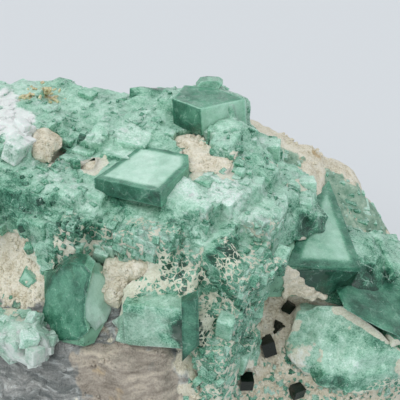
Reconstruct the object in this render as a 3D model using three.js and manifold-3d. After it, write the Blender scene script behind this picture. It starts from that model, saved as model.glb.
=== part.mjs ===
// A large hand specimen of green fluorite grown on cream rock.
// Units are millimetres. +Z is up, +X is to the right, and the crystal-covered front faces -Y.
// The origin is under the middle of the specimen, on its flat foot.
import * as THREE from "three";
import { ConvexGeometry } from "three/addons/geometries/ConvexGeometry.js";
import { mergeVertices } from "three/addons/utils/BufferGeometryUtils.js";
import Module from "manifold-3d";

const wasm = await Module();
wasm.setup();

// Driving sizes
const WIDTH = 168;
const HEIGHT = 84;
const FRONT = 57;
const BACK = 50;
const RIDGE_Y = 4;
const ARCH_POWER = 2.3;
const CRUST = 6;
const GAP = 0.3;

// How the rock is divided: stations along X, and steps from the front foot over the ridge to the back foot
const ALONG = 29;
const OVER = 21;
const END = { bulge: 3, height: 7 };

// The roughness of the rock and of the crust: how wide its lumps are, and how far they rise
const ROCK_WAVES = [{ lump: 17, rise: 2.6 }, { lump: 8, rise: 1.5 }];
const CRUST_WAVE = { lump: 9, rise: 2 };

// The crust's edge wanders, thins out over some degrees of arc, and ends this deep under the rock's surface.
// It also ends short of the rock's two ends.
const EDGE = { lump: 15, wander: 3.5, thinning: 4, depth: 2.5, fromEnd: [2, 9] };

// The rock's outlines, as shares of the driving sizes, at places from its left end (-1) to its right end (1)
const PLACES = [-1, -0.9, -0.75, -0.55, -0.4, -0.2, 0.04, 0.15, 0.32, 0.45, 0.62, 0.74, 0.9, 1];
const RIDGE = [0.24, 0.56, 0.82, 0.955, 0.925, 0.88, 0.91, 0.925, 0.81, 0.73, 0.64, 0.49, 0.3, 0.14];
const FRONT_REACH = [0.2, 0.58, 0.8, 0.94, 0.98, 1.0, 0.97, 0.92, 0.84, 0.78, 0.69, 0.6, 0.4, 0.18];
const BACK_REACH = [0.24, 0.6, 0.8, 0.92, 0.97, 1.0, 1.0, 0.98, 0.92, 0.86, 0.74, 0.62, 0.4, 0.2];

// The arcs where the crust starts at the front and stops at the back, at the same places
const CRUST_START = [30, 26, 24, 32, 33, 32, 27, 15, 24, 24, 24, 22, 28, 34];
const CRUST_STOP = [118, 120, 124, 124, 122, 120, 120, 106, 76, 70, 68, 70, 78, 86];

// Swellings and hollows of the rock: where, how wide, and how far out or in
const SWELLINGS = [
  { x: -22, arc: 13, radius: 21, rise: 10 },
  { x: -3, arc: 18, radius: 13, rise: 9 },
  { x: 8, arc: 50, radius: 20, rise: 5 },
  { x: 33, arc: 29, radius: 15, rise: -11 },
  { x: -43, arc: 40, radius: 11, rise: -6 },
  { x: 50, arc: 64, radius: 14, rise: -3 },
  { x: -64, arc: 95, radius: 17, rise: -3.5 },
  { x: -38, arc: 95, radius: 17, rise: -3.5 },
  { x: -12, arc: 97, radius: 12, rise: -1.5 },
  { x: 12, arc: 99, radius: 12, rise: -1.5 },
  { x: 21, arc: 94, radius: 9, rise: 3.5 },
  { x: 35, arc: 94, radius: 13, rise: 5.5 },
  { x: 58, arc: 94, radius: 14, rise: 7 },
];

// Wide places where the crust is missing and the rock shows
const BARE = [
  { x: -43, arc: 40, radius: 12 },
  { x: -30, arc: 34, radius: 9 },
  { x: -20, arc: 32, radius: 9 },
  { x: -3, arc: 22, radius: 8 },
  { x: 33, arc: 29, radius: 15 },
  { x: 44, arc: 25, radius: 13 },
];

// Lumps of rock that come up through the crust: width, length up the slope, and thickness
const BOSS = { proud: 1.5, rough: 0.22, lump: 0.7 };
const BOSSES = [
  { x: -33, arc: 71, size: [10, 12, 12] },
  { x: -20, arc: 67, size: [13, 8, 12] },
  { x: 5, arc: 73, size: [12, 10, 12] },
  { x: 8, arc: 67, size: [11, 10, 12] },
  { x: 11, arc: 62, size: [15, 8, 12] },
  { x: -13, arc: 40, size: [9, 17, 12] },
  { x: -7, arc: 42, size: [13, 6, 12] },
];

// The crystals that cover the crust, from large to small. The seed picks their places and sizes.
const TIERS = [
  { step: 12.5, length: 11.5, seed: 40 },
  { step: 9.5, length: 8, seed: 7 },
];
const COVERED = { halfWidth: 76, fromArc: 14, toArc: 136 };
const SUNK = 0.38;

// Large crystals that show one by one and have grown into the crust
const GROWN_IN = [
  { name: "flat topped", x: -5.5, arc: 63, rise: 6.2, size: [17.5, 17, 5.5], turn: -27, lean: 5, roll: -6 },
  { name: "upper right", x: 12.5, arc: 84, rise: 4.5, size: [15, 13, 13], turn: -30, lean: 5, roll: 3 },
  { name: "upper dark", x: 4.5, arc: 86, rise: 5, size: [11, 11, 12], turn: -16, lean: 2, roll: -3 },
  { name: "skyline corner", x: 12, arc: 99, rise: 6, size: [8, 8, 8], turn: 20, lean: 8, roll: 42 },
  { name: "skyline slab", x: 14, arc: 93, rise: 5, size: [19, 9, 5], turn: -22, lean: 2, roll: 6 },
  { name: "skyline cube", x: -7, arc: 97, rise: 7, size: [7, 7, 7], turn: -30, lean: 0, roll: 4 },
  { name: "skyline ledge", x: -12, arc: 92, rise: 4, size: [9, 8, 6], turn: -20, lean: 6, roll: 5 },
  { name: "left shoulder", x: -29, arc: 99, rise: 6, size: [13, 12, 8], turn: -34, lean: 2, roll: 12 },
  { name: "upper pale", x: -17, arc: 86, rise: 3, size: [10, 10, 8], turn: -30, lean: 18, roll: 6 },
  { name: "pale lumps", x: -4, arc: 76, rise: 3, size: [12, 9, 8], turn: -24, lean: 20, roll: 4 },
  { name: "round lumps", x: -20, arc: 77, rise: 4, size: [10, 8, 8], turn: -40, lean: 14, roll: 0 },
  { name: "frosted brow", x: 17, arc: 52, rise: 3.5, size: [17, 12, 12], turn: -22, lean: 30, roll: 16 },
  { name: "frosted step", x: 6, arc: 52, rise: 4, size: [12, 10, 11], turn: -30, lean: 20, roll: 4 },
  { name: "middle block", x: -4, arc: 48, rise: 4, size: [14, 12, 10], turn: -14, lean: 16, roll: -4 },
  { name: "left bulk", x: -25, arc: 55, rise: 2, size: [17, 13, 13], turn: -28, lean: 26, roll: 0 },
  { name: "buttress", x: 13.5, arc: 37, rise: 2, size: [20, 16, 27], turn: -42, lean: 14, roll: 16 },
  { name: "dark inset", x: 11, arc: 43, rise: 6, size: [8, 8, 8], turn: -10, lean: 10, roll: 20 },
  { name: "lower block", x: -1, arc: 33, rise: 3.5, size: [16, 12, 11], turn: -10, lean: -1, roll: -2 },
  { name: "lower column", x: 9, arc: 19, rise: 0, size: [11, 9, 22], turn: -34, lean: 6, roll: 4 },
  { name: "right ledge", x: 58, arc: 43, rise: -1, size: [17, 14, 14], turn: 14, lean: 14, roll: 20 },
  { name: "right low", x: 60, arc: 32, rise: 1, size: [16, 16, 18], turn: 24, lean: 12, roll: 12 },
  { name: "right flank", x: 62, arc: 64, rise: 1, size: [15, 17, 12], turn: 18, lean: 14, roll: 34 },
  { name: "right brow", x: 30, arc: 66, rise: 1, size: [16, 15, 11], turn: -10, lean: 18, roll: 26 },
];

// Large crystals that stand by themselves in the rock, each a solid of its own
const SINGLE = [
  { name: "tall_dark_crystal", x: -21, arc: 35.5, rise: 1, size: [13, 12, 17], turn: -34, lean: -20, roll: 0 },
  { name: "corner_crystal", x: 34.6, arc: 54.8, rise: -2, size: [27, 27, 11], turn: 15, lean: 16, roll: 14 },
];

// Small dark cubes scattered in the bare hollow
const SMALL_CUBES = [
  { x: 29, arc: 22, rise: 0.6, size: [3.6, 3.6, 4.6], turn: 15, lean: 5, roll: -12 },
  { x: 33, arc: 27, rise: 0.5, size: [2.2, 3, 4], turn: 40, lean: 10, roll: 35 },
  { x: 36, arc: 35, rise: 0.5, size: [3.2, 2.6, 3], turn: 20, lean: 0, roll: 40 },
  { x: 21, arc: 15, rise: 0.6, size: [3.4, 3.4, 3.4], turn: 5, lean: 10, roll: 5 },
  { x: 22, arc: 20, rise: 0.6, size: [3, 3, 3.4], turn: -20, lean: 15, roll: 30 },
  { x: 35, arc: 12, rise: 0.6, size: [3.4, 3, 3], turn: 30, lean: 10, roll: 10 },
];

// Broken lumps of fluorite, each given by its corners: x, arc and height above the rock
const BROKEN = [
  {
    name: "pale_wedge",
    corners: [[38, 36, 5], [46, 37, 7], [51, 31, 9], [59, 24, 9], [62, 15, 4], [48, 12, 3],
      [36, 16, 2], [34, 24, 3], [45, 28, 8], [44, 18, 5]],
  },
  {
    name: "lower_left_lump",
    corners: [[-45, 29, 3], [-38, 31, 7], [-30, 31, 6], [-26, 28, 5], [-29, 24, 6], [-38, 23, 5],
      [-46, 24, 2], [-35, 28, 9]],
  },
];

const radians = THREE.MathUtils.degToRad;
const smooth = THREE.MathUtils.smoothstep;

// A number from 0 to 1 that depends only on the whole numbers given
function scatter(i, j, k) {
  const s = Math.sin(i * 127.1 + j * 311.7 + k * 74.7) * 43758.5453;
  return s - Math.floor(s);
}

// Smooth noise from -1 to 1, with lumps of the given size
function noise(point, lump) {
  const q = point.clone().divideScalar(lump);
  const [i, j, k] = [Math.floor(q.x), Math.floor(q.y), Math.floor(q.z)];
  const [u, v, w] = [q.x - i, q.y - j, q.z - k].map((t) => t * t * (3 - 2 * t));
  let sum = 0;
  for (const [a, b, c] of [
    [0, 0, 0], [1, 0, 0], [0, 1, 0], [1, 1, 0], [0, 0, 1], [1, 0, 1], [0, 1, 1], [1, 1, 1],
  ]) {
    const share = (a ? u : 1 - u) * (b ? v : 1 - v) * (c ? w : 1 - w);
    sum += share * scatter(i + a, j + b, k + c);
  }
  return 2 * sum - 1;
}

function outline(shares) {
  const curve = new THREE.CubicInterpolant(PLACES, shares, 1, new Float32Array(1));
  return (x) => curve.evaluate(THREE.MathUtils.clamp((2 * x) / WIDTH, -1, 1))[0];
}
const ridgeShare = outline(RIDGE);
const frontShare = outline(FRONT_REACH);
const backShare = outline(BACK_REACH);
const crustStart = outline(CRUST_START);
const crustStop = outline(CRUST_STOP);

// A point of the plain arch at a station x. The arc is 0 at the front foot, 90 at the ridge, 180 at the back foot.
function archPoint(x, arc) {
  const [c, s] = [Math.cos(radians(arc)), Math.sin(radians(arc))];
  const reach = c > 0 ? FRONT * frontShare(x) + RIDGE_Y : BACK * backShare(x) - RIDGE_Y;
  const y = RIDGE_Y - Math.sign(c) * reach * Math.abs(c) ** (2 / ARCH_POWER);
  const z = HEIGHT * ridgeShare(x) * Math.max(s, 0) ** (2 / ARCH_POWER);
  return new THREE.Vector3(x, y, z);
}

function archNormal(x, arc) {
  const [dx, da] = [1, 2];
  const [x0, x1] = [Math.max(x - dx, -WIDTH / 2), Math.min(x + dx, WIDTH / 2)];
  const [a0, a1] = [Math.max(arc - da, 1), Math.min(arc + da, 179)];
  const along = archPoint(x1, arc).sub(archPoint(x0, arc));
  const over = archPoint(x, a1).sub(archPoint(x, a0));
  return along.cross(over).normalize();
}

// How strongly a named place is felt at a point: 1 in its middle, 0 far away
function pull(place, point, power) {
  const away = point.distanceTo(archPoint(place.x, place.arc)) / place.radius;
  return Math.exp(-(away ** power));
}

function rockRelief(point) {
  const swelling = SWELLINGS.reduce((sum, s) => sum + s.rise * pull(s, point, 2), 0);
  return ROCK_WAVES.reduce((sum, wave) => sum + wave.rise * noise(point, wave.lump), swelling);
}

// The crust's thickness. It is below nothing where there is none.
function crustThickness(x, arc, point) {
  const wander = EDGE.wander * noise(point, EDGE.lump);
  const afterStart = smooth(arc - crustStart(x) - wander, -EDGE.thinning, EDGE.thinning);
  const beforeStop = smooth(crustStop(x) + wander - arc, -EDGE.thinning, EDGE.thinning);
  const withinEnds = smooth(WIDTH / 2 - Math.abs(x), ...EDGE.fromEnd);
  const bare = BARE.reduce((most, b) => Math.max(most, pull(b, point, 6)), 0);
  const cover = afterStart * beforeStop * withinEnds * (1 - bare);
  return (CRUST + CRUST_WAVE.rise * noise(point, CRUST_WAVE.lump) + EDGE.depth) * cover - EDGE.depth;
}

// The closed lump whose surface is the arch raised by the height that the function gives
function lump(height) {
  const vertices = [];
  const faces = [];
  const at = (i, j) => i * (OVER + 1) + j;
  for (let i = 0; i <= ALONG; i++) {
    const x = WIDTH * (i / ALONG - 0.5);
    for (let j = 0; j <= OVER; j++) {
      const arc = (180 * j) / OVER;
      const point = archPoint(x, arc);
      point.addScaledVector(archNormal(x, arc), height(x, arc, point));
      if (j === 0 || j === OVER) point.z = 0;
      vertices.push(point.x, point.y, Math.max(point.z, 0));
    }
  }
  for (let i = 0; i < ALONG; i++) {
    for (let j = 0; j < OVER; j++) {
      const [a, b, c, d] = [at(i, j), at(i + 1, j), at(i + 1, j + 1), at(i, j + 1)];
      faces.push(...((i + j) % 2 ? [a, b, c, a, c, d] : [a, b, d, b, c, d]));
    }
    faces.push(at(i, 0), at(i, OVER), at(i + 1, 0), at(i + 1, 0), at(i, OVER), at(i + 1, OVER));
  }
  for (const i of [0, ALONG]) {
    const middle = vertices.length / 3;
    const side = i ? 1 : -1;
    vertices.push(side * (WIDTH / 2 + END.bulge), RIDGE_Y, END.height);
    for (let j = 0; j <= OVER; j++) {
      const [a, b] = [at(i, j), at(i, (j + 1) % (OVER + 1))];
      faces.push(...(i ? [b, a, middle] : [a, b, middle]));
    }
  }
  const geometry = new THREE.BufferGeometry();
  geometry.setAttribute("position", new THREE.Float32BufferAttribute(vertices, 3));
  geometry.setIndex(faces);
  return geometry;
}

function solidOf(geometry) {
  const bare = geometry.clone();
  for (const name of ["normal", "uv"]) bare.deleteAttribute(name);
  const merged = mergeVertices(bare, 1e-3);
  return new wasm.Manifold(
    new wasm.Mesh({
      numProp: 3,
      vertProperties: merged.attributes.position.array,
      triVerts: new Uint32Array(merged.index.array),
    }),
  );
}

function geometryOf(solid) {
  const mesh = solid.getMesh();
  const geometry = new THREE.BufferGeometry();
  geometry.setAttribute("position", new THREE.Float32BufferAttribute(mesh.vertProperties, 3));
  geometry.setIndex(new THREE.BufferAttribute(mesh.triVerts, 1));
  const facets = geometry.toNonIndexed();
  facets.computeVertexNormals();
  return facets;
}

// The largest of the bodies that a cut left
function largestBody(solid) {
  return solid.decompose().reduce((best, body) => (body.volume() > best.volume() ? body : best));
}

// A point on the rock's surface, or raised above it
function onRock(x, arc, rise) {
  const point = archPoint(x, arc);
  return point.addScaledVector(archNormal(x, arc), rockRelief(point) + rise);
}

// The crystals grew nearly parallel. How they stand changes slowly over the specimen, with a little of their own.
function stance(point, own) {
  const lean = 8 + 14 * noise(point, 31) + 5 * own(1);
  const roll = 5 + 14 * noise(point, 37) + 5 * own(2) + 12 * smooth(point.x, 20, 70);
  const turn = -24 + 26 * noise(point, 43) + 6 * own(3) + 22 * smooth(point.x, 10, 50);
  return { lean, roll, turn };
}

// A box crystal: size is width, depth and height, and lean tips its top towards the viewer
function boxCrystal({ x, arc, rise, size, turn = 0, lean = 0, roll = 0 }, grow = 0) {
  const geometry = new THREE.BoxGeometry(...size.map((length) => length + 2 * grow));
  geometry.applyMatrix4(
    new THREE.Matrix4().makeRotationFromEuler(
      new THREE.Euler(radians(lean), radians(roll), radians(turn), "XYZ"),
    ),
  );
  geometry.translate(...onRock(x, arc, rise).toArray());
  return solidOf(geometry);
}

// The part of the surface that a named crystal takes up
function spread({ x, arc, size }, margin) {
  return { x, arc, radius: 0.5 * Math.max(size[0], size[1]) + margin };
}

// A broken lump: the hull of its corners and of their feet under the rock's surface
function brokenLump({ corners }, grow = 0) {
  const points = corners.flatMap(([x, arc, height]) => [onRock(x, arc, height), onRock(x, arc, -3)]);
  const middle = points.reduce((sum, p) => sum.add(p), new THREE.Vector3()).divideScalar(points.length);
  for (const p of points) p.addScaledVector(p.clone().sub(middle).normalize(), grow);
  return solidOf(new ConvexGeometry(points));
}

// A lump of rock whose top stands just proud of the crust
function boss({ x, arc, size }, grow = 0) {
  const ball = new THREE.IcosahedronGeometry(1, 1);
  const spots = ball.attributes.position;
  for (let i = 0; i < spots.count; i++) {
    const spot = new THREE.Vector3().fromBufferAttribute(spots, i);
    spot.multiplyScalar(1 + BOSS.rough * noise(spot.clone().addScalar(x), BOSS.lump));
    spots.setXYZ(i, ...spot.toArray().map((v, n) => v * (size[n] / 2 + grow)));
  }
  const up = new THREE.Vector3(0, 0, 1);
  ball.applyQuaternion(new THREE.Quaternion().setFromUnitVectors(up, archNormal(x, arc)));
  ball.translate(...onRock(x, arc, CRUST + BOSS.proud - size[2] / 2).toArray());
  return solidOf(ball);
}

function isTaken(point, margin) {
  const near = (crystal, extra) => pull(spread(crystal, extra), point, 2) > 0.4;
  return GROWN_IN.some((c) => near(c, 0)) || [...SINGLE, ...BOSSES].some((c) => near(c, margin));
}

// A crystal of the crust, or none where the crust is thin or a named crystal stands
function scatteredCrystal({ length }, x, arc, chance) {
  const point = archPoint(x, arc);
  const thickness = crustThickness(x, arc, point);
  if (thickness < 0.6 * CRUST || isTaken(point, length / 3)) return [];
  const size = [4, 5, 6].map((n) => length * (0.65 + 0.7 * chance(n)));
  const own = (n) => 2 * chance(6 + n) - 1;
  const rise = thickness - SUNK * length * (1 - 0.5 * own(4));
  return [boxCrystal({ x, arc, rise, size, ...stance(point, own) })];
}

// Crystals all over the crust, on a loose grid
function scatteredCrystals(tier) {
  const { halfWidth, fromArc, toArc } = COVERED;
  const crystals = [];
  for (let row = 0; fromArc + tier.step * row < toArc; row++) {
    for (let column = 0; tier.step * column < 2 * halfWidth; column++) {
      const chance = (n) => scatter(row + tier.seed, column, n);
      const x = tier.step * (column + 0.8 * chance(1) + 0.5 * (row % 2)) - halfWidth;
      const arc = fromArc + tier.step * (row + 0.8 * chance(2));
      if (x < halfWidth) crystals.push(...scatteredCrystal(tier, x, arc, chance));
    }
  }
  return crystals;
}

function union(solids) {
  return solids.reduce((sum, solid) => sum.add(solid));
}

function rockSolid(grow) {
  const body = solidOf(lump((x, arc, point) => rockRelief(point) + grow));
  return union([body, ...BOSSES.map((place) => boss(place, grow))]);
}

// The pieces other than the crust. Each is cut by the rock and by those made before it, with a gap.
function separatePieces(rockGrown) {
  const pieces = [];
  let taken = rockGrown;
  const add = (name, make) => {
    pieces.push({ name, solid: largestBody(make(0).subtract(taken)) });
    taken = taken.add(make(GAP));
  };
  for (const crystal of SINGLE) add(crystal.name, (grow) => boxCrystal(crystal, grow));
  for (const lumpOf of BROKEN) add(lumpOf.name, (grow) => brokenLump(lumpOf, grow));
  SMALL_CUBES.forEach((cube, n) => add(`small_cube_${n + 1}`, (grow) => boxCrystal(cube, grow)));
  return { pieces, taken };
}

function crustSolid(taken) {
  const body = solidOf(lump((x, arc, point) => rockRelief(point) + crustThickness(x, arc, point)));
  const crystals = [...TIERS.flatMap(scatteredCrystals), ...GROWN_IN.map((c) => boxCrystal(c))];
  return largestBody(union([body, ...crystals]).subtract(taken));
}

const cream = new THREE.MeshStandardMaterial({ color: 0xd8d2b8, roughness: 0.9, metalness: 0 });
const green = new THREE.MeshStandardMaterial({ color: 0x7fb89a, roughness: 0.35, metalness: 0 });
const pale = new THREE.MeshStandardMaterial({ color: 0xa8cfb2, roughness: 0.5, metalness: 0 });
const dark = new THREE.MeshStandardMaterial({ color: 0x2f6b4d, roughness: 0.15, metalness: 0 });
const COLOURS = { tall_dark_crystal: dark, corner_crystal: green, pale_wedge: pale, lower_left_lump: pale };

function named(name, solid, material) {
  const mesh = new THREE.Mesh(geometryOf(solid), material);
  mesh.name = name;
  return mesh;
}

// Moves the solids sideways so that the origin is under the middle of the whole specimen
function centre(group) {
  const middle = new THREE.Box3().setFromObject(group).getCenter(new THREE.Vector3());
  for (const mesh of group.children) mesh.geometry.translate(-middle.x, -middle.y, 0);
}

const { pieces, taken } = separatePieces(rockSolid(GAP));
const specimen = new THREE.Group();
specimen.add(named("matrix_rock", rockSolid(0), cream));
specimen.add(named("fluorite_crust", crustSolid(taken), green));
for (const { name, solid } of pieces) specimen.add(named(name, solid, COLOURS[name] ?? dark));
centre(specimen);

export default specimen;
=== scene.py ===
# Looks of a green fluorite specimen on cream rock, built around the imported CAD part.
# Lengths are in metres, and MM turns millimetres into metres.
import math

import bpy
import numpy as np
from mathutils import Euler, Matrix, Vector
from mathutils.bvhtree import BVHTree
from mathutils.kdtree import KDTree


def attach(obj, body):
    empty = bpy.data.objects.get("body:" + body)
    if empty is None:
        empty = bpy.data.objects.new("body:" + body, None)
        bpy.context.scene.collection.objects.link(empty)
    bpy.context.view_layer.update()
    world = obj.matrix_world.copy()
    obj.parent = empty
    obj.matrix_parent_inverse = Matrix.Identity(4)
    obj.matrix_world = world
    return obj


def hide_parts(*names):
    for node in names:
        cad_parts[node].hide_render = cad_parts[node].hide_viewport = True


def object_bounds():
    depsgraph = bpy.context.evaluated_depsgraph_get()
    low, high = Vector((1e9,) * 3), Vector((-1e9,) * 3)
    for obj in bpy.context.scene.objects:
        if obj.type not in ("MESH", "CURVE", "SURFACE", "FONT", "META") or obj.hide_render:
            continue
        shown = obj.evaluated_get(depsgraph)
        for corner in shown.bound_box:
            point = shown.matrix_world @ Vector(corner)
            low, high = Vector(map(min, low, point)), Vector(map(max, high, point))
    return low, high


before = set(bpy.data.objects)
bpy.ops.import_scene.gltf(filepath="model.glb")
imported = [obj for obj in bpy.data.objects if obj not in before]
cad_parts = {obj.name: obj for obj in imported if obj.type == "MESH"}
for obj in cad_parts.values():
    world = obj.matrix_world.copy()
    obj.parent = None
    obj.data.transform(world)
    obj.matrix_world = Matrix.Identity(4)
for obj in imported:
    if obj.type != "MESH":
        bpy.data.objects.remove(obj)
cad_low, cad_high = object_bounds()
MM = 0.001
BOX_MARGIN = 0.05 * MM

# The camera stands where the photograph was taken from
PHOTO_SIDE = 400
TARGET = Vector((8.5, -11.3, 62.0)) * MM
DISTANCE = 210 * MM
ELEVATION = math.radians(25)
LENS = 70
SENSOR = 36

# The cream edge of the wedge, as a row of places: its first pixel, the step to the next, and their number
WEDGE_EDGE_START = (337, 308.5)
WEDGE_EDGE_STEP = (3.6, 2.2)
WEDGE_EDGE_COUNT = 20
WEDGE_EDGE = [
    (WEDGE_EDGE_START[0] + WEDGE_EDGE_STEP[0] * n, WEDGE_EDGE_START[1] + WEDGE_EDGE_STEP[1] * n, 1.5, 1.0)
    for n in range(WEDGE_EDGE_COUNT)
]

# Places on the specimen, each given by the photograph's pixel that it shows at, its radius in millimetres
# and how strongly it is felt
ZONES = {
    "crisp": [
        (143, 168, 17, 1.0), (187, 108, 9, 1.0), (130, 94, 4, 1.0), (155, 320, 16, 1.0),
        (192, 335, 6, 1.0), (208, 82, 7, 1.0), (222, 95, 8, 0.8), (372, 300, 18, 1.0), (225, 254, 6, 0.9),
        (150, 88, 6, 0.8), (218, 118, 6, 0.4), (303, 226, 5, 0.8), (385, 250, 8, 0.6),
    ],
    "frost": [
        (143, 168, 9, 0.3), (50, 180, 6, 0.2), (82, 200, 6, 0.15), (128, 137, 7, 0.22),
        (98, 135, 4, 0.16), (105, 110, 5, 0.12), (222, 118, 7, 0.2), (205, 190, 8, 0.3),
        (245, 200, 9, 0.32), (275, 215, 7, 0.22), (152, 312, 7, 0.15), (205, 245, 5, 0.16),
        (330, 335, 9, 0.15), (120, 230, 6, 0.1), (150, 235, 6, 0.2), (101, 305, 4.5, 0.6),
        (350, 345, 8, 0.1), (175, 245, 5, 0.15), (20, 340, 7, 0.25), (350, 240, 4, 0.15),
        (60, 100, 8, 0.12), (20, 90, 7, 0.12), (110, 320, 3, 0.3), (320, 210, 6, 0.1),
    ],
    "deep": [
        (66, 300, 9, 0.4), (187, 107, 9, 0.15), (215, 95, 9, 0.1), (152, 86, 4, 0.26), (130, 94, 4, 0.2),
        (225, 254, 5, 0.36), (192, 330, 6, 0.4), (303, 226, 4, 0.1), (350, 275, 6, 0.2),
        (66, 143, 4, 0.3), (275, 340, 3, 0.1), (120, 190, 4, 0.25), (380, 300, 12, 0.45),
        (365, 328, 9, 0.35), (345, 200, 7, 0.16), (10, 205, 10, 0.32), (60, 160, 4, 0.12),
        (98, 82, 7, 0.14), (75, 78, 7, 0.12), (325, 285, 6, 0.3), (255, 160, 4, 0.14), (205, 80, 3, 0.1),
        (262, 180, 5, 0.14), (345, 180, 9, 0.1), (318, 375, 4, 0.35), (340, 383, 4, 0.4),
        (357, 388, 4, 0.3), (52, 330, 4, 0.1), (128, 302, 4, 0.25), (384, 250, 8, 0.16),
        (40, 210, 7, 0.12), (65, 225, 7, 0.12),
    ],
    "cream": [
        (50, 150, 5, 1.0), (60, 160, 3, 1.0), (46, 138, 3, 1.0), (93, 164, 4, 0.9), (190, 138, 4, 1.0),
        (188, 152, 3.5, 1.0), (205, 165, 4, 1.0), (226, 170, 4, 1.0), (240, 153, 2.5, 0.9),
        (118, 290, 5.5, 0.95), (112, 262, 4, 0.9), (302, 186, 2.2, 1.0), (288, 188, 2, 0.9),
        (305, 244, 2.6, 1.0), (275, 165, 3.2, 0.6), (362, 309, 3.4, 0.9), (300, 118, 6, 0.9),
        (325, 155, 6, 0.8), (285, 105, 5, 0.8), (52, 103, 3, 0.7), (130, 262, 4, 0.8), (150, 268, 4, 0.7),
        (300, 352, 5, 0.6), *WEDGE_EDGE, (402, 366, 4, 0.8), (308, 352, 3, 0.5), (320, 358, 2.5, 0.5),
        (20, 262, 9, 1.0), (350, 326, 3, 0.4), (205, 325, 3, 0.5), (210, 300, 4, 0.5), (20, 310, 8, 0.8),
        (70, 250, 5, 0.7), (85, 245, 4, 0.7), (235, 385, 10, 0.8), (300, 397, 8, 0.8), (355, 402, 7, 0.7),
        (275, 310, 8, 1.0),
    ],
    "speckle": [
        (75, 255, 8, 1.0), (130, 212, 8, 0.45), (155, 262, 11, 1.0), (185, 272, 8, 1.0),
        (110, 248, 7, 0.8), (250, 270, 12, 0.6), (225, 310, 11, 0.65), (270, 240, 8, 0.5),
        (215, 350, 9, 0.7), (205, 385, 7, 0.8), (245, 325, 9, 0.7), (290, 255, 6, 0.5),
        (165, 215, 6, 0.3), (195, 225, 6, 0.3), (140, 280, 7, 0.9), (330, 380, 7, 0.8),
        (380, 388, 8, 0.8), (250, 390, 9, 0.6), (70, 222, 6, 0.4), (180, 385, 5, 0.7),
    ],
    "white": [
        (6, 112, 9, 1.0), (3, 98, 5, 0.9), (28, 130, 5, 0.8), (18, 122, 7, 0.9), (30, 355, 6, 0.7),
        (303, 356, 5, 0.42), (45, 350, 3, 0.7), (14, 352, 4, 0.6),
    ],
    "grey": [
        (30, 385, 22, 1.0), (70, 372, 12, 1.0), (120, 380, 20, 0.8), (150, 350, 8, 0.8),
        (385, 200, 7, 0.7), (350, 172, 4, 0.6), (395, 222, 7, 0.7), (60, 352, 5, 0.8),
    ],
    "tan": [
        (115, 375, 12, 1.0), (135, 392, 14, 1.0), (95, 372, 6, 0.8), (160, 372, 7, 0.6),
    ],
    "ochre": [
        (100, 376, 3, 0.6), (118, 396, 3.5, 0.6), (317, 157, 2.5, 1.0), (27, 98, 2.4, 0.9),
        (10, 305, 7, 0.4), (45, 92, 2.2, 0.8), (50, 102, 2.4, 0.6),
    ],
    "rim": [
        (330, 250, 16, 0.6), (150, 88, 5, 0.4), (192, 330, 6, 1.0),
    ],
    "plain": [
        (143, 170, 14, 1.0), (205, 110, 10, 1.0), (340, 345, 17, 1.0), (155, 320, 9, 0.8),
        (372, 300, 14, 1.0),
    ],
    "scatter": [
        (300, 390, 12, 1.0), (355, 392, 12, 1.0), (245, 392, 8, 0.8), (395, 388, 8, 1.0),
        (205, 392, 6, 0.8), (275, 372, 5, 0.6), (10, 322, 4, 0.7), (52, 250, 4, 0.6), (8, 300, 4, 0.4),
    ],
    "sand": [
        (290, 300, 12, 1.0), (275, 340, 8, 1.0), (300, 385, 14, 1.0), (355, 392, 14, 1.0),
        (245, 390, 10, 1.0), (20, 262, 10, 0.8), (20, 310, 9, 0.9), (47, 144, 5, 0.6), (190, 140, 5, 0.5),
        (205, 160, 6, 0.5), (224, 171, 5, 0.5), (124, 282, 8, 0.8), (310, 150, 12, 0.2),
        (60, 372, 16, 0.15), (395, 380, 8, 1.0), (205, 392, 6, 0.9), (175, 350, 6, 0.3),
        (60, 345, 5, 0.4), (20, 290, 8, 0.8), (110, 335, 4, 0.6),
    ],
    "green": [
        (296, 172, 8, 1.0), (318, 188, 9, 1.0), (345, 195, 10, 1.0), (370, 212, 12, 1.0),
        (395, 232, 12, 1.0), (283, 158, 6, 1.0), (340, 222, 10, 1.0), (268, 140, 4, 1.0),
        (305, 200, 10, 1.0),
    ],
}

# The faces of the larger crystals: the pixels of their corners, and a pixel on them that shows the surface
SLAB_FACES = {
    "tabular_crystal": ([(94, 178), (141, 145), (188, 154), (189, 165), (161, 192)], (143, 168)),
    "deep_cube": ([(172, 99), (184, 85), (214, 87), (246, 99), (200, 109)], (205, 98)),
    "recess_crystal": ([(18, 281), (25, 268), (36, 281), (28, 288)], (27, 279)),
    "skyline_corner": ([(196, 87), (207, 73), (223, 84), (216, 92)], (206, 88)),
    "tall_left_face": (
        [(41, 336), (42, 312), (46, 290), (51, 277), (60, 267), (72, 263), (84, 265), (91, 272), (87, 290),
         (84, 305), (84, 318), (88, 332), (76, 341), (55, 341)],
        (62, 300),
    ),
    "tall_right_face": (
        [(91, 272), (101, 273), (109, 281), (114, 292), (113, 308), (107, 322), (96, 331), (86, 322),
         (85, 303)],
        (96, 305),
    ),
    "corner_top": (
        [(287, 266), (362, 268), (351, 237), (339, 205), (329, 180), (318, 192), (302, 222)],
        (325, 245),
    ),
    "corner_under": ([(296, 271), (361, 270), (344, 284), (327, 298), (321, 294), (305, 286)], (320, 282)),
    "rock_under_corner": (
        [(284, 269), (297, 270), (306, 286), (322, 293), (326, 298), (312, 299), (300, 296), (284, 298)],
        (305, 291),
    ),
    "block_side": ([(181, 304), (198, 297), (199, 345), (182, 362)], (191, 335)),
    "glassy_face": (
        [(338, 292), (362, 273), (385, 268), (404, 275), (404, 338), (385, 330), (362, 318), (345, 308)],
        (372, 295),
    ),
}

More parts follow.
